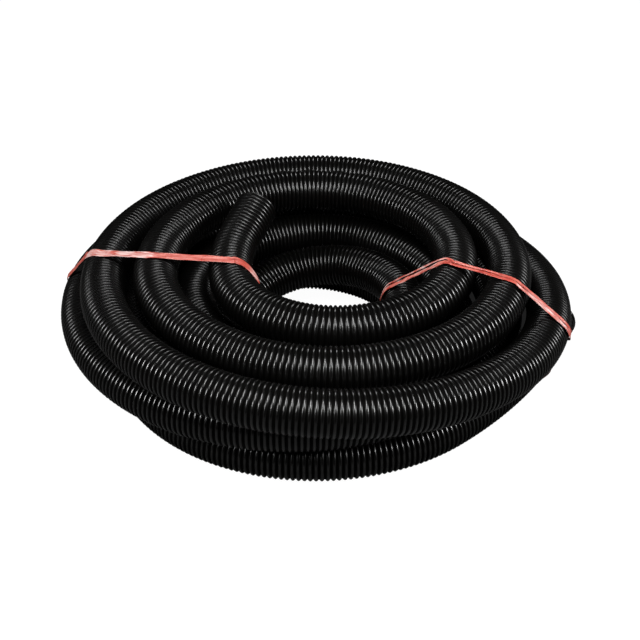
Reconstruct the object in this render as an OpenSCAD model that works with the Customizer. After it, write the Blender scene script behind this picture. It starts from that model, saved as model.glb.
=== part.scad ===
// Swimming pool vacuum hose: one long corrugated hose, wound by hand into three
// layers round an open eye and held together by two ties of plastic film.
// Millimetres, +Z up. The coil lies on the plane z = 0, and the origin is there
// at the middle of the coil's own box.

/* [Hose] */
// Outside diameter, over the ribs
hose_od = 48; // [40:1:58]
// Bore, which is smooth inside
hose_bore = 38; // [30:1:38]
// Depth of the groove between two ribs
rib_depth = 2; // [1:0.25:2.5]
// Distance from one rib to the next, as the hose has it and its straight ends show
rib_pitch = 5.4; // [4:0.2:8]

/* [Coil] */
// Radius of the smallest turn, to the middle of the hose
eye_r = 88; // [75:1:120]
// Gap between turns that lie side by side
loop_gap = 0.6; // [0.5:0.1:3]
// Ribs along the wound stretch, where each stands for several of the hose's own
coil_ribs = 180; // [120:1:184]
// Depth of the groove between two ribs of the wound stretch
coil_rib_depth = 3.5; // [1:0.25:3.5]

/* [Ties] */
// Width of the left tie, a single strip of film
left_tie_w = 9; // [5:0.5:14]
// Width of each of the two strands of the right tie
right_tie_w = 5; // [3:0.5:8]
// Gap between the two strands of the right tie
strand_gap = 2; // [1:0.5:6]
// Thickness of the film, pleated as it is pulled tight
tie_t = 1; // [0.6:0.1:1.5]
// Gap between a tie and the ribs
tie_clear = 0.5; // [0.5:0.1:1]
// Radius of the knot that closes a tie
knot_r = 5; // [4:0.5:8]
// Length of each loose end of a knot
tail_len = 14; // [10:1:18]

/* [Hidden] */

HOSE_COLOUR = "#1c1c1e";
TIE_COLOUR = "#e2604f";

hose_r = hose_od / 2;
bore_r = hose_bore / 2;
root_r = hose_r - rib_depth;
// One place in the winding: a hose and its gap. Reach and climb are counted in it.
place = hose_od + loop_gap;

// The hose is pressed flat by a tenth of its diameter where it lies on the floor.
first_z = hose_r - hose_od / 10;
least_wall = 2;

// The straight stretch at each end, one diameter long, in whole ribs
end_ribs = ceil(hose_od / rib_pitch);
end_len = end_ribs * rib_pitch;
rib_steps = 8;

// The winding starts at the top inner end and runs counter-clockwise.
turns = 8.57;
start_azimuth = 150;

// How far out from the eye, in places, at each turn: the top layer spirals out,
// the middle layer in, and the floor layer out again.
REACH = [[0, 0], [0.3, 0.5], [0.6, 1.28], [1.6, 2.4], [1.84, 2.58], [2.1, 3.03], [2.6, 3.35],
         [3.05, 3.58], [3.15, 3.24], [3.4, 2.62], [3.57, 2.56], [3.83, 2.16], [4.08, 2.2],
         [4.4, 1.56], [5.9, 0], [6.2, 0], [6.6, 0.74], [7.4, 1.56], [8.2, 2.45], [8.4, 2.6],
         [9, 3.2]];
reach_ease = 0.12;

// How high over the floor layer, in places: the climbs fall where the spiral turns back.
CLIMB = [[0.15, 2.05], [1.1, 2.2], [1.6, 2.04], [1.84, 2.01], [2.1, 1.98], [2.3, 2.15],
         [2.8, 0.45], [2.93, 1], [3, 1.05], [3.2, 1], [3.5, 1.01], [5.65, 1], [6.2, 0]];
climb_ease = 0.15;

// The two lower layers lie a little to one side of the top one, in places.
SLIP_TURNS = [2.6, 3.1];
SLIP = [-0.25, 0.3];
slip_ease = 0.2;

// Each free end springs away from its neighbours: turns that it takes, then places
// outwards and places up.
START_SPRING = [0.15, 0.25, 0.2];
FINISH_SPRING = [0.12, 0.8, 0.11];

// Steps of the survey that measures the route, and of the averages that round it
survey_steps = 60;
ease_steps = 9;
tiny_turn = 0.001;

// Gap between a knot and the strand that it closes
knot_seat = 0.2;

// Directions in which the ties lie out from the eye
left_azimuth = 184;
right_azimuth = 346.4;

// The ties are skewed: how far to the side of its own plane each tie crosses each turn,
// counted from the top end
LEFT_SKEW = [24, 0, -20, -52, -25, -25, -25, -25, -25];
RIGHT_SKEW = [1, -5, -8, 0, 0, 34, 0, 0, 0];
tie_steps = 72;

// Angles between which each knot finds the strand that it closes: outside the floor
// layer for the left tie, and low in the eye for the right
LEFT_KNOT = [280, 340];
RIGHT_KNOT = [175, 215];

// The ties lie this high over the floor, in a groove that they press into the hose.
tie_lift = 0.2;
groove_z = tie_lift + tie_t + tie_clear;

function total(list) = [for (item = list) 1] * list;
function unit(v) = v / norm(v);

// Mean of a table over a short span of turns, which rounds its corners
function eased(turn, table, span) =
    total([for (k = [0 : ease_steps - 1])
        lookup(turn + span * (2 * k / (ease_steps - 1) - 1), table)]) / ease_steps;

// Rises from 0 to 1 over the last part of a free end
function spring(turns_left, span) = max(0, 1 - turns_left / span) ^ 2;

// The middle of the hose at a number of turns from the top end
function spine(turn) =
    let (start = spring(turn, START_SPRING[0]),
         finish = spring(turns - turn, FINISH_SPRING[0]),
         azimuth = start_azimuth + 360 * turn,
         out = eased(turn, REACH, reach_ease) + START_SPRING[1] * start + FINISH_SPRING[1] * finish,
         rise = eased(turn, CLIMB, climb_ease) + START_SPRING[2] * start + FINISH_SPRING[2] * finish,
         slip = eased(turn, [[SLIP_TURNS[0], 0], [SLIP_TURNS[1], 1]], slip_ease),
         radius = eye_r + place * out)
    [place * slip * SLIP[0] + radius * cos(azimuth),
     place * slip * SLIP[1] + radius * sin(azimuth),
     first_z + place * rise];

// Direction of the hose at a turn, and the two directions square to it
function heading(turn) =
    unit(spine(min(turn + tiny_turn, turns)) - spine(max(turn - tiny_turn, 0)));
function sideways(turn) = unit(cross(heading(turn), [0, 0, 1]));
function upwards(turn) = cross(sideways(turn), heading(turn));

// The route surveyed in even steps of turn: [length so far, turn]
survey_n = ceil(turns * survey_steps);
survey_points = [for (i = [0 : survey_n]) spine(turns * i / survey_n)];
survey = [for (i = 0, run = 0; i <= survey_n;
               run = run + (i < survey_n ? norm(survey_points[i + 1] - survey_points[i]) : 0), i = i + 1)
    [run, turns * i / survey_n]];
coil_len = survey[survey_n][0];

// Turns at which the rings stand, in even steps of length
ring_n = 2 * coil_ribs;
ring_turns = [for (k = [0 : ring_n]) lookup(coil_len * k / ring_n, survey)];
ring_step = coil_len / ring_n;
ring_spots = [for (turn = ring_turns) spine(turn)];

// Middle of the coil's box, which is brought over the origin
box_spots = concat(ring_spots, [end_tip(0, -1), end_tip(turns, 1)]);
middle = [for (axis = [0, 1])
    (max([for (spot = box_spots) spot[axis]]) + min([for (spot = box_spots) spot[axis]])) / 2];
function end_tip(turn, way) = spine(turn) + way * end_len * heading(turn);

module placed() {
    translate([-middle.x, -middle.y, 0]) children();
}

// How far a spot lies out along a tie's plane, and how far to its side
function along(spot, azimuth) = spot * [cos(azimuth), sin(azimuth), 0];
function aside(spot, azimuth) = spot * [-sin(azimuth), cos(azimuth), 0];

// A ring's lowest corners are pressed up to the floor, or to the groove that a tie lies in.
groove_half = left_tie_w / 2 + ring_step + strand_gap;
function in_groove(spot) =
    max([for (tie = [[left_azimuth, LEFT_SKEW], [right_azimuth, RIGHT_SKEW]])
        along(spot, tie[0]) > 0
        && abs(aside(spot, tie[0]) - tie[1][floor(turns)]) < groove_half ? 1 : 0]) > 0;
function floor_under(spot) = in_groove(spot) ? groove_z : 0;

SIDES = 8;
function ring(turn, r, wall) =
    let (base = floor_under(spine(turn)) + wall,
         side = sideways(turn),
         up = upwards(turn))
    [for (k = [0 : SIDES - 1])
        let (angle = (k + 0.5) * 360 / SIDES,
             corner = spine(turn) + r * (cos(angle) * side + sin(angle) * up))
        [corner.x, corner.y, max(corner.z, base)]];

// Two triangles for each side between ring a and ring b
function band(a, b) =
    [for (k = [0 : SIDES - 1], half = [0, 1])
        let (next = (k + 1) % SIDES)
        half == 0 ? [a + k, b + k, a + next] : [b + k, b + next, a + next]];
function bands(first, last) =
    [for (i = [first : last - 1], face = band(i * SIDES, (i + 1) * SIDES)) face];
function flipped(faces) = [for (face = faces) [face[2], face[1], face[0]]];

// Crests and grooves by turns, and the straight ends' own groove where they meet it
function outer_r(k) =
    k == 0 || k == ring_n ? root_r : k % 2 == 1 ? hose_r : hose_r - coil_rib_depth;

// The wound hose is one unbroken ribbed tube with its bore: crests and grooves by
// turns outside, and one ring to a rib inside.
module hose_coil() {
    outer = [for (k = [0 : ring_n]) ring(ring_turns[k], outer_r(k), 0)];
    inner = [for (k = [0 : 2 : ring_n]) ring(ring_turns[k], bore_r, least_wall)];
    corners = [for (loop = concat(outer, inner), corner = loop) corner];
    first_inner = ring_n + 1;
    last_inner = first_inner + coil_ribs;
    faces = concat(bands(0, ring_n),
                   flipped(bands(first_inner, last_inner)),
                   flipped(band(0, first_inner * SIDES)),
                   band(ring_n * SIDES, last_inner * SIDES));
    color(HOSE_COLOUR) placed() polyhedron(corners, faces);
    echo("wound length, mm", coil_len);
    echo("least gap between turns, mm", least_gap());
}

// Distance from a spot to the straight line between two others
function to_line(spot, from, to) =
    let (run = to - from, share = max(0, min(1, (spot - from) * run / (run * run))))
    norm(spot - from - share * run);

// Least distance from the middle of the hose at one place to its line at any other
// that lies more than two diameters on, less the hose's diameter
function least_gap() =
    let (apart = ceil(2 * hose_od * survey_n / coil_len))
    min([for (i = [0 : survey_n - apart], j = [i + apart : survey_n - 1])
        to_line(survey_points[i], survey_points[j], survey_points[j + 1])]) - hose_od;

// Outline of the ribs along a straight end, from its seat on the coil to its mouth
function rib_outline() =
    [for (k = [0 : end_ribs * rib_steps])
        [root_r + rib_depth * (1 - cos(360 * k / rib_steps)) / 2, k * rib_pitch / rib_steps]];

module hose_end(turn, way) {
    out = way * heading(turn);
    color(HOSE_COLOUR)
        placed()
            translate(spine(turn))
                rotate([0, acos(out.z), atan2(out.y, out.x)])
                    rotate_extrude($fn = 64)
                        polygon(concat(rib_outline(), [[bore_r, end_len], [bore_r, 0]]));
}

module hose_end_top() {
    hose_end(0, -1);
}

module hose_end_bottom() {
    hose_end(turns, 1);
}

// Turn at which the hose passes a tie's plane at a distance aside, from a first guess
function crossing(turn, azimuth, shift, tries) =
    tries == 0 ? turn :
    let (spot = spine(turn),
         miss = aside(spot, azimuth) - shift)
    crossing(turn - miss / (2 * PI * along(spot, azimuth)), azimuth, shift, tries - 1);

// Radius that the hose needs within half a tie's width of where it crosses: one that
// crosses at a slant takes more.
function room(turn, azimuth, half) =
    let (way = heading(turn),
         slant = norm([along(way, azimuth), way.z]) / abs(aside(way, azimuth)))
    hose_r * norm([1, slant]) + half * slant;

// Where a tie crosses each turn: [out, up, radius that it clears, aside]
function crossed(azimuth, skew, offset, half) =
    [for (k = [0 : floor(turns)])
        let (shift = skew[k] + offset,
             turn = crossing((azimuth - start_azimuth) / 360 + k, azimuth, shift, 4),
             spot = spine(turn))
        if (turn >= 0 && turn <= turns)
            [along(spot, azimuth), spot.z, room(turn, azimuth, half) + tie_clear, shift]];

// Where a tie touches the bundle in one direction round it: [out, up, aside]
function touch(found, angle) =
    let (out = [cos(angle), sin(angle)],
         reaches = [for (spot = found) spot * [out.x, out.y, 1, 0]],
         best = found[search(max(reaches), reaches)[0]])
    [best.x + best.z * out.x, best.y + best.z * out.y, best[3]];

// The whole way round a tie, evenly in angle
function tie_way(azimuth, skew, offset, half) =
    let (found = crossed(azimuth, skew, offset, half))
    [for (k = [0 : tie_steps - 1]) touch(found, 360 * k / tie_steps)];

// The four corners of a tie's section, with its lower side flat over the floor
function tie_corners(spot, angle, half) =
    [for (corner = [[0, -1], [0, 1], [1, 1], [1, -1]])
        let (lift = corner[0] * tie_t,
             base = tie_lift + (1 - corner[0]) * tie_t)
        [spot[0] + lift * cos(angle), max(spot[1] + lift * sin(angle), base), spot[2] + corner[1] * half]];

// From a tie's plane to the coil's own axes
module standing(azimuth) {
    multmatrix([[cos(azimuth), 0, -sin(azimuth), 0],
                [sin(azimuth), 0, cos(azimuth), 0],
                [0, 1, 0, 0]])
        children();
}

// A strip of film drawn round every turn that it passes
module tie_strip(azimuth, skew, width, offset) {
    half = width / 2;
    way = tie_way(azimuth, skew, offset, half);
    corners = [for (k = [0 : tie_steps - 1], corner = tie_corners(way[k], 360 * k / tie_steps, half))
        corner];
    faces = [for (k = [0 : tie_steps - 1], side = [0 : 3], part = [0, 1])
        let (here = 4 * k,
             ahead = 4 * ((k + 1) % tie_steps),
             next = (side + 1) % 4)
        part == 0 ? [here + side, here + next, ahead + side]
                  : [here + next, ahead + next, ahead + side]];
    placed() standing(azimuth) polyhedron(corners, faces);
}

// Index of the longest step of a tie's way between two angles: its free strand
function free_strand(way, angles) =
    let (steps = [for (k = [0 : tie_steps - 1])
             let (angle = 360 * k / tie_steps)
             angle >= angles[0] && angle < angles[1] ? norm(way[k + 1] - way[k]) : 0])
    search(max(steps), steps)[0];

// Middle of the outer face of a tie's free strand
function outer_mid(way, half, angles) =
    let (step = free_strand(way, angles))
    total([for (k = [0, 1], corner = [2, 3])
        tie_corners(way[step + k], 360 * (step + k) / tie_steps, half)[corner]]) / 4;

// A pulled knot with two loose ends, on the middle of a tie's free strand. It sits on
// the outermost of the tie's strips there.
module tie_knot(azimuth, skew, width, offsets, angles) {
    ways = [for (offset = offsets) tie_way(azimuth, skew, offset, width / 2)];
    step = free_strand(ways[0], angles);
    angle = 360 * (step + 0.5) / tie_steps;
    run = unit(ways[0][step + 1] - ways[0][step]);
    side = unit(cross(run, [cos(angle), sin(angle), 0]));
    out = cross(side, run);
    mids = [for (way = ways) outer_mid(way, width / 2, angles)];
    mid = total(mids) / len(mids);
    proud = max([for (spot = mids) (spot - mid) * out]);
    seat = mid + (proud + knot_seat + knot_r) * out;
    placed()
        standing(azimuth)
            multmatrix([for (axis = [0 : 2]) [run[axis], out[axis], side[axis], seat[axis]]]) {
                knot_body();
                for (lean = [-60, 60]) {
                    rotate(90 + lean) knot_tail();
                }
            }
}

module knot_body() {
    hull() {
        for (end = [-1, 1]) {
            translate([end * knot_r / 2, 0, 0]) sphere(knot_r, $fn = 24);
        }
    }
}

module knot_tail() {
    translate([0, -tie_t / 2, -knot_r / 2]) cube([tail_len, tie_t, knot_r]);
}

module left_tie() {
    color(TIE_COLOUR) tie_strip(left_azimuth, LEFT_SKEW, left_tie_w, 0);
}

right_offsets = (right_tie_w + strand_gap) / 2 * [-1, 1];

module right_tie() {
    color(TIE_COLOUR)
        for (offset = right_offsets) {
            tie_strip(right_azimuth, RIGHT_SKEW, right_tie_w, offset);
        }
}

module left_tie_knot() {
    color(TIE_COLOUR)
        tie_knot(left_azimuth, LEFT_SKEW, left_tie_w, [0], LEFT_KNOT);
}

module right_tie_knot() {
    color(TIE_COLOUR)
        tie_knot(right_azimuth, RIGHT_SKEW, right_tie_w, right_offsets, RIGHT_KNOT);
}

hose_coil();
hose_end_top();
hose_end_bottom();
left_tie();
left_tie_knot();
right_tie();
right_tie_knot();
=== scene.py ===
# %% [markdown]
# # A wound swimming pool hose
# A pool's vacuum hose is one long ribbed tube. This one is wound by hand into three
# layers round an open eye, and two ties of coral film hold it. The lesson draws the
# hose rib by rib along its whole length, then the two creased ties and their knots.

# %% Load the frame
import math

import bpy
import numpy as np
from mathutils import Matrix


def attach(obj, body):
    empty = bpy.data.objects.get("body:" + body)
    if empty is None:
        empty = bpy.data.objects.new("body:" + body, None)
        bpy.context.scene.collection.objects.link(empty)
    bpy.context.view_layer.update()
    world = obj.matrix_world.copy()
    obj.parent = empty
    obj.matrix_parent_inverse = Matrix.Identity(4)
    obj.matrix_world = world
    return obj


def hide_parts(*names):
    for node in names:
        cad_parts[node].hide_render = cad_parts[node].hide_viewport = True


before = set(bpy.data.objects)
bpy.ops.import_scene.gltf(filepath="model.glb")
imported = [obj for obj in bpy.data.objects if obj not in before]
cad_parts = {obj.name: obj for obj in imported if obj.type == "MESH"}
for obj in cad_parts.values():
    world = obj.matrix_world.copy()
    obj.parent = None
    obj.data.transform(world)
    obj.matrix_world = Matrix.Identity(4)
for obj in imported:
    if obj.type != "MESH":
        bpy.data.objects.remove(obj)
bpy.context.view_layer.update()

print("pieces in the frame:", sorted(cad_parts))

# %% [markdown]
# ## The line that the hose follows
# Everything else hangs on one line, the middle of the hose. It could be drawn as a free
# curve by eye, but a hose can't pass through itself, so the line is worked out turn by
# turn instead. One table says how far out each turn lies and one says how high, both
# counted in places, where a place is one hose and its gap. The tables' corners are
# rounded, because a stiff hose never turns on a point.

# %% Sizes of the hose and its winding, in metres
HOSE_R = 0.024
BORE_R = 0.019
GROOVE_R = 0.0219
PLACE = 0.0486
EYE_R = 0.088
FIRST_Z = 0.0192
END_LENGTH = 0.0486
TURNS = 8.57
START_AZIMUTH = 150
MIDDLE = np.array([0.003638, 0.010480, 0.0])
LINE_POINTS = 6000

# Each free end springs away: over how many turns, and how many places out and up.
TOP_FREE, TOP_OUT, TOP_UP = 0.15, 0.25, 0.2
BOTTOM_FREE, BOTTOM_OUT, BOTTOM_UP = 0.12, 0.8, 0.11
# Between these turns the coil slips aside, by so many places to the left and the back.
SLIP = [(2.6, 0), (3.1, 1)]
SLIP_LEFT, SLIP_BACK = 0.25, 0.3
# The corners of each table are rounded over this many turns.
REACH_SPAN, CLIMB_SPAN, SLIP_SPAN = 0.12, 0.15, 0.2

REACH = [(0, 0), (0.3, 0.5), (0.6, 1.28), (1.6, 2.4), (1.84, 2.58), (2.1, 3.03), (2.6, 3.35),
         (3.05, 3.58), (3.15, 3.24), (3.4, 2.62), (3.57, 2.56), (3.83, 2.16), (4.08, 2.2),
         (4.4, 1.56), (5.9, 0), (6.2, 0), (6.6, 0.74), (7.4, 1.56), (8.2, 2.45), (8.4, 2.6),
         (9, 3.2)]
CLIMB = [(0.15, 2.05), (1.1, 2.2), (1.6, 2.04), (1.84, 2.01), (2.1, 1.98), (2.3, 2.15),
         (2.8, 0.45), (2.93, 1), (3, 1.05), (3.2, 1), (3.5, 1.01), (5.65, 1), (6.2, 0)]


# %% The middle of the hose at any turn
def rounded(turn, table, span):
    """A table read at a turn, with its corners rounded over a short span of turns."""
    at, value = zip(*table)
    near = [np.interp(turn + k * span, at, value) for k in np.linspace(-1, 1, 9)]
    return np.mean(near, axis=0)


def spring(left, span):
    """Rises from 0 to 1 over the last part of a free end."""
    return np.maximum(0, 1 - left / span) ** 2


def spine(turn):
    """Points of the line, where turn runs from 0 at the top mouth to TURNS at the bottom."""
    turn = np.asarray(turn, float)
    start, finish = spring(turn, TOP_FREE), spring(TURNS - turn, BOTTOM_FREE)
    azimuth = np.radians(START_AZIMUTH + 360 * turn)
    radius = EYE_R + PLACE * (rounded(turn, REACH, REACH_SPAN)
                              + TOP_OUT * start + BOTTOM_OUT * finish)
    height = FIRST_Z + PLACE * (rounded(turn, CLIMB, CLIMB_SPAN)
                                + TOP_UP * start + BOTTOM_UP * finish)
    slip = PLACE * rounded(turn, SLIP, SLIP_SPAN)
    points = np.stack([radius * np.cos(azimuth) - SLIP_LEFT * slip,
                       radius * np.sin(azimuth) + SLIP_BACK * slip, height], axis=-1)
    return points - MIDDLE


# %% The whole line, from one mouth to the other, in even steps
def unit(v):
    """The same directions, each with a length of 1."""
    return v / np.linalg.norm(v, axis=-1, keepdims=True)


def even_line(step):
    """Points along the whole hose, a step apart, with the straight stretch at each end."""
    wound = spine(np.linspace(0, TURNS, LINE_POINTS))
    first = wound[0] - unit(wound[1] - wound[0]) * END_LENGTH
    last = wound[-1] + unit(wound[-1] - wound[-2]) * END_LENGTH
    line = np.vstack([first, wound, last])
    run = np.concatenate([[0], np.cumsum(np.linalg.norm(np.diff(line, axis=0), axis=1))])
    count = round(run[-1] / step)
    even = np.linspace(0, run[-1], count + 1)
    return np.stack([np.interp(even, run, line[:, k]) for k in range(3)], axis=1), run[-1]


centre_line, HOSE_LENGTH = even_line(0.01)
print("hose from mouth to mouth, m:", round(HOSE_LENGTH, 3))

# %% [markdown]
# ## The camera
# The camera looks down on the coil from the front at about 35 degrees, from far enough
# away that the front turns are only a little larger than the back ones. A short lens
# close by would make the front turns swell, so a long lens further off is chosen.

# %% Camera
TARGET = np.array([-0.0045, -0.0105, 0.0485])
TILT = math.radians(34.9)
DISTANCE = 1.352
LENS = 68.03
SENSOR = 36

camera_data = bpy.data.cameras.new("camera")
camera_data.lens = LENS
camera_data.sensor_width = SENSOR
camera = bpy.data.objects.new("camera", camera_data)
camera.location = TARGET + DISTANCE * np.array([0, -math.cos(TILT), math.sin(TILT)])
camera.rotation_euler = (math.pi / 2 - TILT, 0, 0)
bpy.context.collection.objects.link(camera)
bpy.context.scene.camera = camera
print("camera at, m:", [round(v, 3) for v in camera.location])

# %% [markdown]
# ## The ribbed hose
# The hose is blown from black plastic, with a rib every 5.4 mm and a smooth bore. A
# bump map could fake the ribs, but then the edge of the hose would look smooth, and the
# ribs' own shadows would be missing. So each rib is real geometry: six rings of points
# follow its section from the bottom of one groove over the crest to the next.

# %% A rib's section: how far along the rib, and its radius
RIB = [(0.0, 0.0219), (0.08, 0.0221), (0.27, 0.0235), (0.5, 0.0240), (0.73, 0.0235),
       (0.92, 0.0221)]
RIB_PITCH = 0.0054
SIDES = 28

rib_count = round(HOSE_LENGTH / RIB_PITCH)
print("ribs:", rib_count, "pitch, mm:", round(1000 * HOSE_LENGTH / rib_count, 3))


# %% Rings of points at chosen places along the hose
def ring_frames(places):
    """Middle, sideways and upwards directions of the hose at places from 0 to 1 along it."""
    line, _ = even_line(0.002)
    heading = unit(np.gradient(line, axis=0))
    at = np.linspace(0, 1, len(line))
    middle = np.stack([np.interp(places, at, line[:, k]) for k in range(3)], axis=1)
    heading = unit(np.stack([np.interp(places, at, heading[:, k]) for k in range(3)], axis=1))
    sideways = unit(np.cross(heading, [0, 0, 1]))
    return middle, sideways, np.cross(sideways, heading)


def rings(places, radii):
    """One ring of SIDES points round the line at each place, with its own radius."""
    middle, sideways, upwards = ring_frames(places)
    angle = np.radians((np.arange(SIDES) + 0.5) * 360 / SIDES)
    spread = (np.cos(angle)[None, :, None] * sideways[:, None]
              + np.sin(angle)[None, :, None] * upwards[:, None])
    return middle[:, None] + radii[:, None, None] * spread


# %% [markdown]
# The bottom layer carries the weight of the other two, so it is pressed flat where it
# touches the floor. Cutting it off at the floor would leave a hard edge. Raising the
# points with a rounded maximum instead gives the soft edge of a squeezed tube, and the
# grooves stay a little higher than the crests, so that the ribs can be seen from below.

# %% Press the rings up from the floor, and from the ties that run underneath
PRESS_BLEND = 0.003
# Under the hose each tie has an azimuth, a shift aside and half a width.
UNDER_TIES = [(184, -0.025, 0.007), (346.4, 0.0, 0.009)]
TIE_ROOM = 0.0017
TIE_SLOPE = 0.004


def rounded_max(height, floor, blend):
    """The greater of two heights, with the corner between them rounded."""
    near = np.clip((height - floor) / blend, -1, 1)
    soft = floor + blend * (near + 1) ** 2 / 4
    return np.where(height > floor + blend, height, np.maximum(soft, floor))


def floor_below(points):
    """Height of what the hose lies on: the floor, or a tie on the floor."""
    flat = points + MIDDLE
    height = np.zeros(points.shape[:-1])
    for azimuth, shift, half in UNDER_TIES:
        turn = math.radians(azimuth)
        along = flat[..., 0] * math.cos(turn) + flat[..., 1] * math.sin(turn)
        aside = -flat[..., 0] * math.sin(turn) + flat[..., 1] * math.cos(turn)
        fade = np.clip((half + TIE_SLOPE - np.abs(aside - shift)) / TIE_SLOPE, 0, 1)
        height = np.maximum(height, np.where(along > 0, TIE_ROOM * fade, 0))
    return height


def pressed(points, lift):
    """The same points, raised where they would be lower than what the hose lies on."""
    floor = floor_below(points) + lift
    height = rounded_max(points[..., 2], floor, PRESS_BLEND)
    return np.concatenate([points[..., :2], height[..., None]], axis=-1)


# %% The two skins of the hose
GROOVE_LIFT = 0.6
BORE_RINGS = 460
BORE_LIFT = 0.002

along_rib = np.array([part for part, _ in RIB])
rib_radius = np.array([radius for _, radius in RIB])
outer_places = np.append((np.arange(rib_count)[:, None] + along_rib).ravel() / rib_count, 1.0)
outer_radii = np.append(np.tile(rib_radius, rib_count), GROOVE_R)
outer_lift = (HOSE_R - outer_radii)[:, None] * GROOVE_LIFT
outer = pressed(rings(outer_places, outer_radii), outer_lift)

bore_places = np.linspace(0, 1, BORE_RINGS)
bore = pressed(rings(bore_places, np.full(BORE_RINGS, BORE_R)), BORE_LIFT)
print("outer rings:", len(outer), "bore rings:", len(bore))


# %% Join the rings into one closed tube with two mouths
def tube_faces(first_ring, ring_count):
    """Four-cornered faces between neighbouring rings, each ring numbered SIDES points on."""
    ring = (first_ring + np.arange(ring_count - 1))[:, None] * SIDES
    side = np.arange(SIDES)[None, :]
    ahead = (side + 1) % SIDES
    corners = [ring + side, ring + ahead, ring + SIDES + ahead, ring + SIDES + side]
    return np.stack(corners, axis=-1).reshape(-1, 4)


def mouth_faces(ring_a, ring_b):
    """The flat rim of a mouth, between the outer skin's ring and the bore's."""
    side = np.arange(SIDES)
    ahead = (side + 1) % SIDES
    return np.stack([ring_a * SIDES + side, ring_b * SIDES + side,
                     ring_b * SIDES + ahead, ring_a * SIDES + ahead], axis=-1)


def mesh_piece(name, points, faces):
    """A new object from arrays of points and of four-cornered faces."""
    mesh = bpy.data.meshes.new(name)
    mesh.vertices.add(len(points))
    mesh.vertices.foreach_set("co", np.asarray(points, np.float32).ravel())
    mesh.loops.add(faces.size)
    mesh.loops.foreach_set("vertex_index", faces.astype(np.int32).ravel())
    mesh.polygons.add(len(faces))
    mesh.polygons.foreach_set("loop_start", np.arange(0, faces.size, 4, dtype=np.int32))
    mesh.polygons.foreach_set("use_smooth", np.ones(len(faces), bool))
    mesh.update(calc_edges=True)
    mesh.validate()
    piece = bpy.data.objects.new(name, mesh)
    bpy.context.collection.objects.link(piece)
    return piece


outer_count, bore_count = len(outer), len(bore)
hose_points = np.concatenate([outer.reshape(-1, 3), bore.reshape(-1, 3)])
hose_faces = np.concatenate([
    tube_faces(0, outer_count),
    tube_faces(outer_count, bore_count)[:, ::-1],
    mouth_faces(0, outer_count),
    mouth_faces(outer_count - 1, outer_count + bore_count - 1)[:, ::-1]])
hose = mesh_piece("hose", hose_points, hose_faces)
print("hose faces:", len(hose.data.polygons))

# %% Mark crests and grooves for the finish
BORE_MARK = 0.5

crest = np.concatenate([np.repeat((outer_radii - GROOVE_R) / (HOSE_R - GROOVE_R), SIDES),
                        np.full(bore_count * SIDES, BORE_MARK)])
mark = hose.data.attributes.new("crest", "FLOAT", "POINT")
mark.data.foreach_set("value", crest.astype(np.float32))

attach(hose, "root")
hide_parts("hose_coil", "hose_end_top", "hose_end_bottom")

# %% [markdown]
# ## The ties
# Each tie is thin film pulled tight round the whole bundle, one strip at the left and
# two at the right. Pulled film gathers into pleats that run along it, goes straight
# from turn to turn, and bends only where it rests on the hose. It could be a cloth
# simulation, but a strip this taut has only one place to lie: the shortest way round
# the turns that it crosses. So the strip is laid there directly, and the pleats and
# creases are added to its section. A strip also slides a little along the hose where it
# rests, so a table of sway says how far.


# %% Where a tie crosses each turn
TIE_CLEAR = 0.0003
LINE_LOWEST = 0.0004


def directions(azimuth):
    """Outwards and sideways, level with the floor, at an azimuth round the coil."""
    turn_angle = math.radians(azimuth)
    out = np.array([math.cos(turn_angle), math.sin(turn_angle), 0])
    side = np.array([-math.sin(turn_angle), math.cos(turn_angle), 0])
    return out, side


def crossing(azimuth, k, shift, half):
    """The hose's section where a tie crosses one turn: out, up, radius, aside."""
    out, side = directions(azimuth)
    turn = (azimuth - START_AZIMUTH) / 360 + k
    for _ in range(5):
        spot = spine(turn) + MIDDLE
        turn -= (spot @ side - shift) / (2 * math.pi * (spot @ out))
    if turn > TURNS:
        return None
    spot = spine(turn) + MIDDLE
    way = unit(spine(min(turn + 0.001, TURNS)) - spine(turn - 0.001))
    slant = math.hypot(way @ out, way[2]) / abs(way @ side)
    radius = HOSE_R * math.hypot(1, slant) + half * slant + TIE_CLEAR
    return np.array([spot @ out, spot[2], radius, shift])


def laid_round(azimuth, skews, half, sway):
    """The tie's line round the bundle, its outward direction, and the angle it faces."""
    out, side = directions(azimuth)
    found = [crossing(azimuth, k, shift, half) for k, shift in enumerate(skews)]
    found = np.array([one for one in found if one is not None])
    line, facing, angles = [], [], []
    for angle in range(360):
        look = np.array([math.cos(math.radians(angle)), math.sin(math.radians(angle))])
        k = int(np.argmax(found[:, :2] @ look + found[:, 2]))
        best = crossing(azimuth, k, skews[k] + np.interp(angle, *zip(*sway)), half)
        flat = best[:2] + best[2] * look
        height = np.array([0, 0, max(flat[1], LINE_LOWEST)])
        line.append(out * flat[0] + side * best[3] + height - MIDDLE)
        facing.append(out * look[0] + np.array([0, 0, look[1]]))
        angles.append(angle)
    return np.array(line), np.array(facing), np.array(angles, float)


def divided(line, facing, angles, step):
    """The same line with even steps, so that straight spans can carry creases too."""
    closed = np.vstack([line, line[:1]])
    run = np.concatenate([[0], np.cumsum(np.linalg.norm(np.diff(closed, axis=0), axis=1))])
    count = round(run[-1] / step)
    even = np.arange(count) * run[-1] / count

    def spread(values):
        columns = [np.interp(even, run, column) for column in values.T]
        return np.stack(columns, axis=1)

    around = spread(np.vstack([angles[:, None], [[360.0]]]))[:, 0]
    return spread(closed), unit(spread(np.vstack([facing, facing[:1]]))), around, even


# %% [markdown]
# A strip's section is a row of points across it. Waves along the row make the pleats,
# and the waves drift slowly along the strip, as the folds of pulled film do. A finer
# noise makes the short creases. A table says how wide the strip is at each angle round
# the bundle, because the film gathers to a thread in some places and opens in others.

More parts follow.
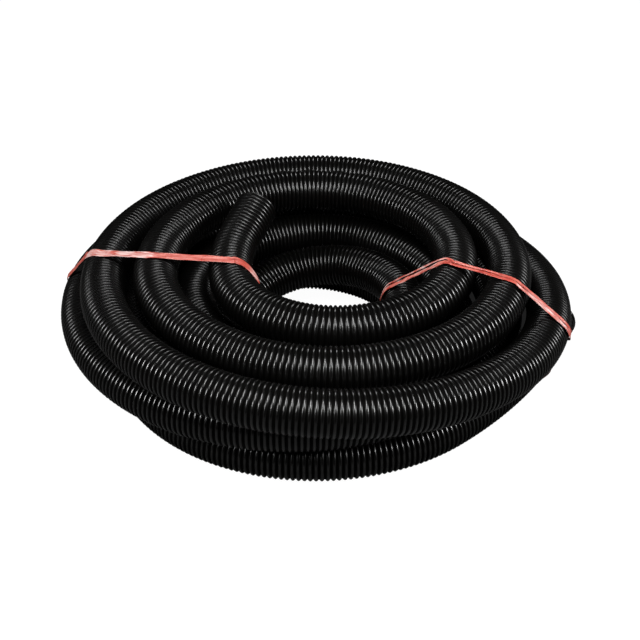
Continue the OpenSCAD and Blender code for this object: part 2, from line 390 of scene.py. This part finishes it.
# %% A creased strip of film
ACROSS = 13
STRIP_HALF = 0.0035
STRIP_STEP = 0.0012
STRIP_LOWEST = 0.0002
FILM_THICK = 0.00015
PLEATS, PLEATS_CHANGE = 1.6, 0.5
PLEAT_DEPTH, PLEAT_DEPTH_CHANGE = 0.00035, 0.00018
CREASE_DEPTH = 0.00022
EDGE_CURL = 0.0012


def wander(along, seed, scale):
    """A slow smooth wandering between -1 and 1 that closes on itself."""
    rng = np.random.default_rng(seed)
    whole = along[-1] + along[1]
    last = max(2, round(whole / scale))
    waves = [(k, rng.uniform(0, 2 * math.pi), rng.normal()) for k in range(1, last + 1)]
    value = sum(size * np.sin(2 * math.pi * k * along / whole + phase)
                for k, phase, size in waves)
    return value / np.abs(value).max()


def film_strip(name, azimuth, skews, sway, width, aside, lift, seed):
    """A strip whose sway, width, shift and lift are tables of the angle round the bundle."""
    line, facing, angles = laid_round(azimuth, skews, STRIP_HALF, sway)
    line, facing, angles, along = divided(line, facing, angles, STRIP_STEP)
    heading = unit(np.roll(line, -1, axis=0) - np.roll(line, 1, axis=0))
    over = unit(np.cross(facing, heading))
    proud = unit(np.cross(heading, over))
    wide = np.interp(angles, *zip(*width)) * (1 + 0.07 * wander(along, seed, 0.02))
    shift = np.interp(angles, *zip(*aside))
    rise = np.interp(angles, *zip(*lift))
    share = np.linspace(-0.5, 0.5, ACROSS)
    drift = 0.9 * wander(along, seed + 1, 0.09)
    count = PLEATS + PLEATS_CHANGE * wander(along, seed + 2, 0.12)
    depth = PLEAT_DEPTH + PLEAT_DEPTH_CHANGE * wander(along, seed + 3, 0.03)
    phase = count[:, None] * share + drift[:, None]
    pleat = depth[:, None] * (1 + np.sin(2 * math.pi * phase))
    rng = np.random.default_rng(seed + 4)
    crease = rng.normal(0, 1, pleat.shape)
    for _ in range(2):
        crease = (np.roll(crease, 1, axis=0) + crease + np.roll(crease, -1, axis=0)) / 3
        crease[:, 1:-1] = (crease[:, :-2] + crease[:, 1:-1] + crease[:, 2:]) / 3
    height = (rise[:, None] + pleat + CREASE_DEPTH * np.abs(crease)
              + EDGE_CURL * np.abs(share) ** 3)
    points = (line[:, None] + over[:, None] * (shift[:, None] + wide[:, None] * share)[..., None]
              + proud[:, None] * height[..., None])
    points[..., 2] = np.maximum(points[..., 2], STRIP_LOWEST)
    n = len(line)
    ring = np.arange(n)[:, None] * ACROSS
    ahead = ((np.arange(n) + 1) % n)[:, None] * ACROSS
    place = np.arange(ACROSS - 1)[None, :]
    corners = [ring + place, ahead + place, ahead + place + 1, ring + place + 1]
    faces = np.stack(corners, axis=-1).reshape(-1, 4)
    piece = mesh_piece(name, points.reshape(-1, 3), faces)
    film_marks(piece, angles, along, share, wide)
    thick = piece.modifiers.new("film", "SOLIDIFY")
    thick.thickness = FILM_THICK
    thick.offset = 1
    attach(piece, "root")
    length = round(1000 * (along[-1] + along[1]))
    print(name, "round the bundle, mm:", length, "faces:", len(faces))
    return piece, (line, facing, angles)


def film_marks(piece, angles, along, share, wide):
    """A map along and across the strip, and how strongly its film is painted pale as a
    highlight.
    """
    painted_highlight = np.repeat(np.interp(angles, *zip(*PAINTED_HIGHLIGHTS[piece.name])), ACROSS)
    mark = piece.data.attributes.new("painted_highlight", "FLOAT", "POINT")
    mark.data.foreach_set("value", painted_highlight.astype(np.float32))
    across = np.tile(share, len(along)) * np.repeat(wide, ACROSS)
    position = np.stack([np.repeat(along, ACROSS), across, np.zeros(len(across))], axis=1)
    place = piece.data.attributes.new("film_place", "FLOAT_VECTOR", "POINT")
    place.data.foreach_set("vector", position.astype(np.float32).ravel())


# %% Where each tie lies: its azimuth, its shift at each turn, and its sway
LEFT = (184, [0.024, 0, -0.020, -0.052, -0.025, -0.025, -0.025, -0.025, -0.025],
        [(0, -0.016), (16, -0.014), (31, -0.007), (33, 0.0), (49, 0.004), (65, 0.008),
         (82, 0.013), (90, 0.014), (93, 0.014), (94, -0.003), (100, -0.004), (116, -0.002),
         (133, 0.002), (150, 0.007), (166, 0.011), (181, 0.014), (200, 0.010), (230, 0),
         (316, 0), (330, -0.007), (346, -0.014), (360, -0.016)])
RIGHT = (346.4, [0.001, -0.005, -0.008, 0, 0, 0.034, 0, 0, 0],
         [(0, -0.008), (16, -0.014), (33, -0.017), (50, -0.018), (53, -0.017), (54, -0.014),
          (64, -0.012), (81, -0.011), (87, -0.010), (88, -0.005), (94, -0.003), (111, 0.0),
          (133, 0.0), (134, -0.006), (145, -0.007), (161, -0.009), (177, -0.010),
          (192, -0.010), (199, -0.008), (230, 0), (300, 0.010), (313, 0.014), (343, 0.016),
          (344, 0.0), (352, -0.004), (360, -0.008)])
# Painted highlights: how pale the film is painted, by the angle round the bundle.
PAINTED_HIGHLIGHTS = {"left_strip": [(0, 0.1), (30, 0.2), (45, 1.0), (84, 1.15), (90, 0.45), (100, 0.15),
                       (130, 0.2), (146, 1.1), (158, 0.9), (168, 0.0), (360, 0.1)],
        "right_strip_front": [(0, 0.1), (20, 0.6), (53, 1.0), (56, 0.6), (64, 0.2),
                              (80, 0.1), (120, 0.3), (134, 0.6), (180, 0.1), (360, 0.1)],
        "right_strip_back": [(0, 0.1), (40, 0.3), (80, 0.2), (110, 0.5), (145, 0.95),
                             (175, 0.2), (360, 0.1)]}
print("ties at azimuths:", LEFT[0], RIGHT[0])

# %% The left tie, one strip, and the right tie, two strips that cross each other
left_strip, left_way = film_strip(
    "left_strip", *LEFT,
    width=[(0, 0.005), (25, 0.006), (45, 0.011), (85, 0.0105), (95, 0.0115), (150, 0.013),
           (175, 0.010), (250, 0.009), (320, 0.005), (360, 0.005)],
    aside=[(0, 0), (360, 0)], lift=[(0, 0), (360, 0)], seed=11)
# Where a strip meets the hose at a slant it stands off the ribs, so the lift lets it down.
right_front, right_way = film_strip(
    "right_strip_front", *RIGHT,
    width=[(0, 0.006), (30, 0.0075), (55, 0.0075), (80, 0.0075), (120, 0.0070),
           (150, 0.007), (200, 0.005), (300, 0.002), (345, 0.002), (360, 0.006)],
    aside=[(0, 0.0022), (70, 0.0015), (88, 0.0015), (95, 0.0022), (140, 0.0022),
           (185, 0.0028), (270, 0.0035), (345, 0.0035), (360, 0.0022)],
    lift=[(290, 0), (310, -0.0014), (343, -0.0014), (350, 0)], seed=23)
right_back, _ = film_strip(
    "right_strip_back", *RIGHT,
    width=[(0, 0.004), (55, 0.004), (95, 0.0042), (112, 0.003), (134, 0.003), (150, 0.004),
           (200, 0.0045), (300, 0.002), (345, 0.002), (360, 0.004)],
    aside=[(0, -0.0026), (50, -0.0030), (70, -0.0012), (88, -0.0012), (93, -0.0014),
           (112, -0.0048), (133, -0.0060), (150, -0.0040), (185, -0.0030), (270, -0.0035),
           (345, -0.0035), (360, -0.0026)],
    lift=[(0, 0.0002), (60, 0.0009), (88, 0.0009), (110, 0.0004), (190, 0.0006),
          (290, 0.0002), (310, -0.0005), (343, -0.0005), (350, 0), (360, 0.0002)],
    seed=37)
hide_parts("left_tie")
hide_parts("right_tie")
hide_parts("right_tie")

# %% [markdown]
# ## The knots
# The two ends of each strip are tied in a single overhand knot on a free stretch, and
# the loose ends stand off it. An overhand knot is a trefoil line that has been pulled
# tight, so the knot is swept along such a line. A plain ball would do from far away,
# but it has none of the gathers that make a knot read as one.

# %% A tight overhand knot with two loose ends
KNOT_SEAT = 0.005 * 0.75
KNOT_REACH = np.array([0.0016, 0.0010, 0.0016])
KNOT_WIDE, KNOT_THICK = 0.0021, 0.0013
TAIL_LENGTH, TAIL_WIDTH = 0.014, 0.005
TAIL_LEANS = (-60, 60)


def free_stretch(way, low, high):
    """The longest straight stretch that faces between two angles: middle, run, outward."""
    line, facing, angles = way
    straight = (angles >= low) & (angles <= high) & (np.abs(np.gradient(angles)) < 0.2)
    at = np.flatnonzero(straight)
    longest = max(np.split(at, np.flatnonzero(np.diff(at) > 1) + 1), key=len)
    middle = longest[len(longest) // 2]
    run = unit(line[longest[-1]] - line[longest[0]])
    outward = unit(facing[middle] - (facing[middle] @ run) * run)
    return line[middle], run, outward


def knot_piece(name, way, low, high, node):
    """A trefoil drawn tight on the free stretch between two angles, and its loose ends."""
    middle, run, outward = free_stretch(way, low, high)
    across = np.cross(run, outward)
    t = np.linspace(0, 2 * math.pi, 73)[:-1]
    loop = np.stack([np.sin(t) + 2 * np.sin(2 * t), np.cos(t) - 2 * np.cos(2 * t),
                     -np.sin(3 * t)], axis=1)
    loop *= KNOT_REACH
    heading = unit(np.roll(loop, -1, axis=0) - np.roll(loop, 1, axis=0))
    away = loop / np.linalg.norm(loop, axis=1, keepdims=True) + [0, 0, 0.01]
    aside = unit(np.cross(heading, away))
    up = np.cross(aside, heading)
    section = np.linspace(0, 2 * math.pi, 13)[:-1]
    gather = 1 + 0.12 * np.sin(5 * section)[None, :] * np.cos(9 * t)[:, None]
    skin = (loop[:, None]
            + KNOT_WIDE * gather[..., None] * np.cos(section)[None, :, None] * aside[:, None]
            + KNOT_THICK * gather[..., None] * np.sin(section)[None, :, None] * up[:, None])
    seat = middle + outward * KNOT_SEAT
    turned = skin @ np.array([run, across, outward]) + seat
    n, m = len(t), len(section)
    ring = np.arange(n)[:, None] * m
    ahead = ((np.arange(n) + 1) % n)[:, None] * m
    side = np.arange(m)[None, :]
    corners = [ring + side, ahead + side, ahead + (side + 1) % m, ring + (side + 1) % m]
    faces = [np.stack(corners, axis=-1).reshape(-1, 4)]
    points = [turned.reshape(-1, 3)]
    for lean in TAIL_LEANS:
        tail, tail_faces = knot_tail(seat, run, across, outward, lean)
        faces.append(tail_faces + sum(len(p) for p in points))
        points.append(tail)
    piece = mesh_piece(name, np.concatenate(points), np.concatenate(faces))
    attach(piece, "root")
    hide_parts(node)
    print(name, "middle, mm:", [round(1000 * v, 1) for v in seat])
    return piece


def knot_tail(seat, run, across, outward, lean):
    """A loose end: a curled, pleated tongue of film with a slanting cut at its tip."""
    way = math.radians(90 + lean)
    ahead = math.cos(way) * run + math.sin(way) * outward
    lift = unit(np.cross(across, ahead))
    steps = np.linspace(0, 1, 15)
    share = np.linspace(-0.5, 0.5, 9)
    reach = steps[:, None] * (1 + 0.18 * share[None, :])
    curl = 0.0022 * np.sin(1.7 * steps) ** 2
    pleat = 0.0005 * np.sin(2 * math.pi * (1.5 * share[None, :] + 0.6 * steps[:, None]))
    open_up = 0.45 + 0.55 * np.minimum(1, steps * 2)
    top = (seat + reach[..., None] * TAIL_LENGTH * ahead
           + (open_up[:, None] * share[None, :] * TAIL_WIDTH)[..., None] * across
           + (curl[:, None] + pleat)[..., None] * lift)
    skins = [top, top - FILM_THICK * lift]
    n, m = len(steps), len(share)
    ring, side = np.arange(n - 1)[:, None] * m, np.arange(m - 1)[None, :]
    corners = [ring + side, ring + m + side, ring + m + side + 1, ring + side + 1]
    face = np.stack(corners, axis=-1).reshape(-1, 4)
    points = np.concatenate([skin.reshape(-1, 3) for skin in skins])
    return points, np.concatenate([face, face[:, ::-1] + n * m])


left_knot = knot_piece("left_knot", left_way, 270, 345, "left_tie_knot")
right_knot = knot_piece("right_knot", right_way, 165, 225, "right_tie_knot")

# %% [markdown]
# ## The hose as one free cord
# The hose is a single flexible line that leaves its top mouth and runs to its bottom
# mouth, and it is drawn as one tube with its real length and diameter. The ties go
# wherever it goes.

# %% [markdown]
# ## Black hose plastic
# The plastic is black all through and polished by its mould, so almost all that can be
# seen of it is gloss. One gloss for all of it would turn the hose grey, because the
# grooves would shine too. So the mark made with the ribs sets how strongly and how
# sharply each place reflects: the crests keep a strong gloss, and the grooves are given
# almost none, which paints in the shade that falls in them. A little dust lies in the
# grooves too. A fine grain breaks the highlights up, as it does on blown plastic.


# %% Node helpers
def new_material(name):
    """A material, with its nodes, its links and its shader."""
    material = bpy.data.materials.new(name)
    material.use_nodes = True
    nodes, links = material.node_tree.nodes, material.node_tree.links
    return material, nodes, links, nodes["Principled BSDF"]


def noise(nodes, links, where, scale, detail):
    node = nodes.new("ShaderNodeTexNoise")
    node.inputs["Scale"].default_value = scale
    node.inputs["Detail"].default_value = detail
    links.new(where, node.inputs["Vector"])
    return node.outputs["Fac"]


def ramp(nodes, links, factor, stops):
    """A colour for each of a few positions of a factor."""
    node = nodes.new("ShaderNodeValToRGB")
    while len(node.color_ramp.elements) < len(stops):
        node.color_ramp.elements.new(0.5)
    for element, (position, colour) in zip(node.color_ramp.elements, stops):
        element.position = position
        element.color = (*colour, 1)
    links.new(factor, node.inputs["Fac"])
    return node.outputs["Color"]


def ranged(nodes, links, factor, low, high, out_low, out_high):
    """A factor stretched from one range to another, and held at its ends."""
    node = nodes.new("ShaderNodeMapRange")
    values = {"From Min": low, "From Max": high, "To Min": out_low, "To Max": out_high}
    for name, value in values.items():
        node.inputs[name].default_value = value
    links.new(factor, node.inputs["Value"])
    return node.outputs["Result"]


def maths(nodes, links, kind, first, second):
    """One sum with two terms, each a number or another node's output."""
    node = nodes.new("ShaderNodeMath")
    node.operation = kind
    for socket, value in zip(node.inputs, (first, second)):
        if isinstance(value, (int, float)):
            socket.default_value = value
        else:
            links.new(value, socket)
    return node.outputs["Value"]


def attribute(nodes, name, output="Fac"):
    node = nodes.new("ShaderNodeAttribute")
    node.attribute_name = name
    return node.outputs[output]


def bumped(nodes, links, shader, height, depth, strength):
    node = nodes.new("ShaderNodeBump")
    node.inputs["Strength"].default_value = strength
    node.inputs["Distance"].default_value = depth
    links.new(height, node.inputs["Height"])
    links.new(node.outputs["Normal"], shader.inputs["Normal"])


# %% The hose's finish
hose_plastic, nodes, links, shader = new_material("hose_plastic")
where = nodes.new("ShaderNodeTexCoord").outputs["Object"]
crest_mark = attribute(nodes, "crest")
patches = noise(nodes, links, where, 14, 3)
grain = noise(nodes, links, where, 900, 4)
groove = ranged(nodes, links, crest_mark, 0.45, 0.0, 0.0, 1.0)
dust = maths(nodes, links, "MULTIPLY", groove, patches)
black = ramp(nodes, links, dust, [(0.0, (0.0012, 0.0011, 0.0010)),
                                  (0.8, (0.0036, 0.0034, 0.0031))])
links.new(black, shader.inputs["Base Color"])
dull = maths(nodes, links, "ADD", ranged(nodes, links, crest_mark, 0.4, 0.9, 0.45, 0.22),
             ranged(nodes, links, patches, 0.3, 0.7, -0.02, 0.04))
links.new(dull, shader.inputs["Roughness"])
# Painted shade: the specular level falls almost to nothing in the grooves, so they stay dark as
# their shade would leave them, while the crests keep a strong one.
gloss_and_groove_shade = ranged(nodes, links, crest_mark, 0.65, 0.98, 0.03, 0.75)
links.new(gloss_and_groove_shade, shader.inputs["Specular IOR Level"])
bumped(nodes, links, shader, grain, 0.00006, 0.35)
hose.data.materials.append(hose_plastic)
print("hose finish, nodes:", len(nodes))

# %% [markdown]
# ## Coral film
# The film is thin, shiny and full of creases. Its colour carries painted highlights: the
# film is painted pale along stretches of each strip where it would catch the light, and
# the creases get painted highlights as fine lines along it. Both could be painted by
# hand, but a noise that is long along the strip and short across it draws them anywhere
# on it.

# %% The ties' finish
tie_film, nodes, links, shader = new_material("tie_film")
place = attribute(nodes, "film_place", "Vector")
longways = nodes.new("ShaderNodeMapping")
longways.inputs["Scale"].default_value = (1, 14, 1)
links.new(place, longways.inputs["Vector"])
threads = noise(nodes, links, longways.outputs["Vector"], 60, 4)
blots = noise(nodes, links, place, 130, 3)
# Painted highlights: the strips are painted pale along the crease lines where the table says,
# and the crease lines are lightened a little more; the blots are the film's own random tone, and
# the ramp's palest stop is the highlight colour.
painted_highlight = attribute(nodes, "painted_highlight")
streaks = ranged(nodes, links, threads, 0.40, 0.60, 0.05, 1.15)
painted_pale_highlight = maths(nodes, links, "MULTIPLY", painted_highlight, streaks)
mottle_and_crease_highlight = maths(nodes, links, "ADD", ranged(nodes, links, blots, 0.35, 0.7, -0.05, 0.10),
               ranged(nodes, links, threads, 0.38, 0.64, 0.0, 0.16))
tone = maths(nodes, links, "ADD", painted_pale_highlight, mottle_and_crease_highlight)
coral = ramp(nodes, links, tone, [(0.0, (0.27, 0.022, 0.016)), (0.16, (0.46, 0.064, 0.044)),
                                  (0.5, (0.54, 0.155, 0.118)), (1.0, (0.66, 0.47, 0.45))])
links.new(coral, shader.inputs["Base Color"])
links.new(ranged(nodes, links, blots, 0.3, 0.7, 0.24, 0.42), shader.inputs["Roughness"])
shader.inputs["Specular IOR Level"].default_value = 0.55
bumped(nodes, links, shader, threads, 0.0004, 0.7)
for piece in (left_strip, right_front, right_back, left_knot, right_knot):
    piece.data.materials.append(tie_film)
print("film finish, nodes:", len(nodes))

# %% [markdown]
# ## Floor, lamps and background
# Black gloss is lit by what it reflects, so the lamps are soft boxes whose reflections
# fall where a streak is wanted. The box above the front puts one on the upper third of
# each front and back turn. The two at the sides put one on either flank of the turns
# that run away from the camera. A weak one behind keeps the far edges from going flat.
# The floor and the world are white to the camera but dark in the gloss, because a white
# room would turn the black plastic grey. The glow that makes the floor white takes no
# shade, so under two narrow gaps between turns at the right it is painted dark instead.

# %% Floor
FLOOR_HALF = 4.0
FLOOR_GLOW = 1.08
# The dark ovals: middle, turn in degrees, and half the length and width.
GAPS = [((0.234, 0.058), 75, (0.034, 0.010)), ((0.1805, 0.108), 95, (0.020, 0.009))]


def shaded(nodes, links, where, middle, turn, size):
    """0 inside an oval of the floor, 1 outside it, with a soft edge."""
    oval = nodes.new("ShaderNodeMapping")
    oval.vector_type = "TEXTURE"
    oval.inputs["Location"].default_value = (*middle, 0)
    oval.inputs["Rotation"].default_value = (0, 0, math.radians(turn))
    oval.inputs["Scale"].default_value = (*size, 1)
    links.new(where, oval.inputs["Vector"])
    reach = nodes.new("ShaderNodeVectorMath")
    reach.operation = "LENGTH"
    links.new(oval.outputs["Vector"], reach.inputs[0])
    return ranged(nodes, links, reach.outputs["Value"], 1.0, 1.5, 0.0, 1.0)


corners = [(-FLOOR_HALF, -FLOOR_HALF, 0), (FLOOR_HALF, -FLOOR_HALF, 0),
           (FLOOR_HALF, FLOOR_HALF, 0), (-FLOOR_HALF, FLOOR_HALF, 0)]
floor = mesh_piece("floor", corners, np.array([[0, 1, 2, 3]]))
floor_paint, nodes, links, shader = new_material("floor_paint")
shader.inputs["Roughness"].default_value = 0.9
shader.inputs["Specular IOR Level"].default_value = 0.0
glow = nodes.new("ShaderNodeEmission")
glow.inputs["Color"].default_value = (1, 1, 1, 1)
glow.inputs["Strength"].default_value = FLOOR_GLOW
seen = nodes.new("ShaderNodeLightPath").outputs["Is Camera Ray"]
flat = nodes.new("ShaderNodeTexCoord").outputs["Object"]
open_floor = maths(nodes, links, "MINIMUM", *[shaded(nodes, links, flat, *gap) for gap in GAPS])
lit = ranged(nodes, links, open_floor, 0, 1, 0.008, 0.9)
seen_lit = maths(nodes, links, "MULTIPLY", seen, lit)
paint = maths(nodes, links, "ADD", seen_lit, ranged(nodes, links, seen, 0, 1, 0.12, 0.0))
links.new(paint, shader.inputs["Base Color"])
blend = nodes.new("ShaderNodeMixShader")
links.new(seen_lit, blend.inputs["Fac"])
links.new(shader.outputs["BSDF"], blend.inputs[1])
links.new(glow.outputs["Emission"], blend.inputs[2])
links.new(blend.outputs["Shader"], nodes["Material Output"].inputs["Surface"])
floor.data.materials.append(floor_paint)
print("floor, m:", 2 * FLOOR_HALF, "dark ovals:", len(GAPS))

# %% World
world = bpy.data.worlds.new("studio")
world.use_nodes = True
bpy.context.scene.world = world
nodes, links = world.node_tree.nodes, world.node_tree.links
background = nodes["Background"]
background.inputs["Color"].default_value = (1, 1, 1, 1)
rays = nodes.new("ShaderNodeLightPath").outputs
shown = maths(nodes, links, "MAXIMUM", rays["Is Camera Ray"], rays["Is Transmission Ray"])
links.new(ranged(nodes, links, shown, 0, 1, 0.03, 1.0), background.inputs["Strength"])
print("world:", world.name)


# %% Lamps
AIM = np.array([0, 0, 0.1])
# Each box has a spot, its length and width, and its watts.
BOXES = {"front_box": ((0.0, -0.46, 1.05), (0.30, 0.60), 10),
         "left_box": ((-1.5, -0.65, 0.95), (0.45, 0.5), 22),
         "right_box": ((1.6, -0.50, 0.90), (0.45, 0.5), 28),
         "back_box": ((0.0, 1.1, 1.25), (0.7, 0.3), 5)}


def soft_box(name, spot, size, watts):
    """A large flat lamp at one spot, turned to face the coil."""
    data = bpy.data.lights.new(name, "AREA")
    data.shape = "RECTANGLE"
    data.size, data.size_y = size
    data.energy = watts
    lamp = bpy.data.objects.new(name, data)
    lamp.location = spot
    towards = unit(AIM - np.array(spot))
    around = math.atan2(towards[1], towards[0]) - math.pi / 2
    lamp.rotation_euler = (math.acos(-towards[2]), 0, around)
    bpy.context.collection.objects.link(lamp)


for name, box in BOXES.items():
    soft_box(name, *box)
bpy.context.scene.view_settings.view_transform = "Standard"
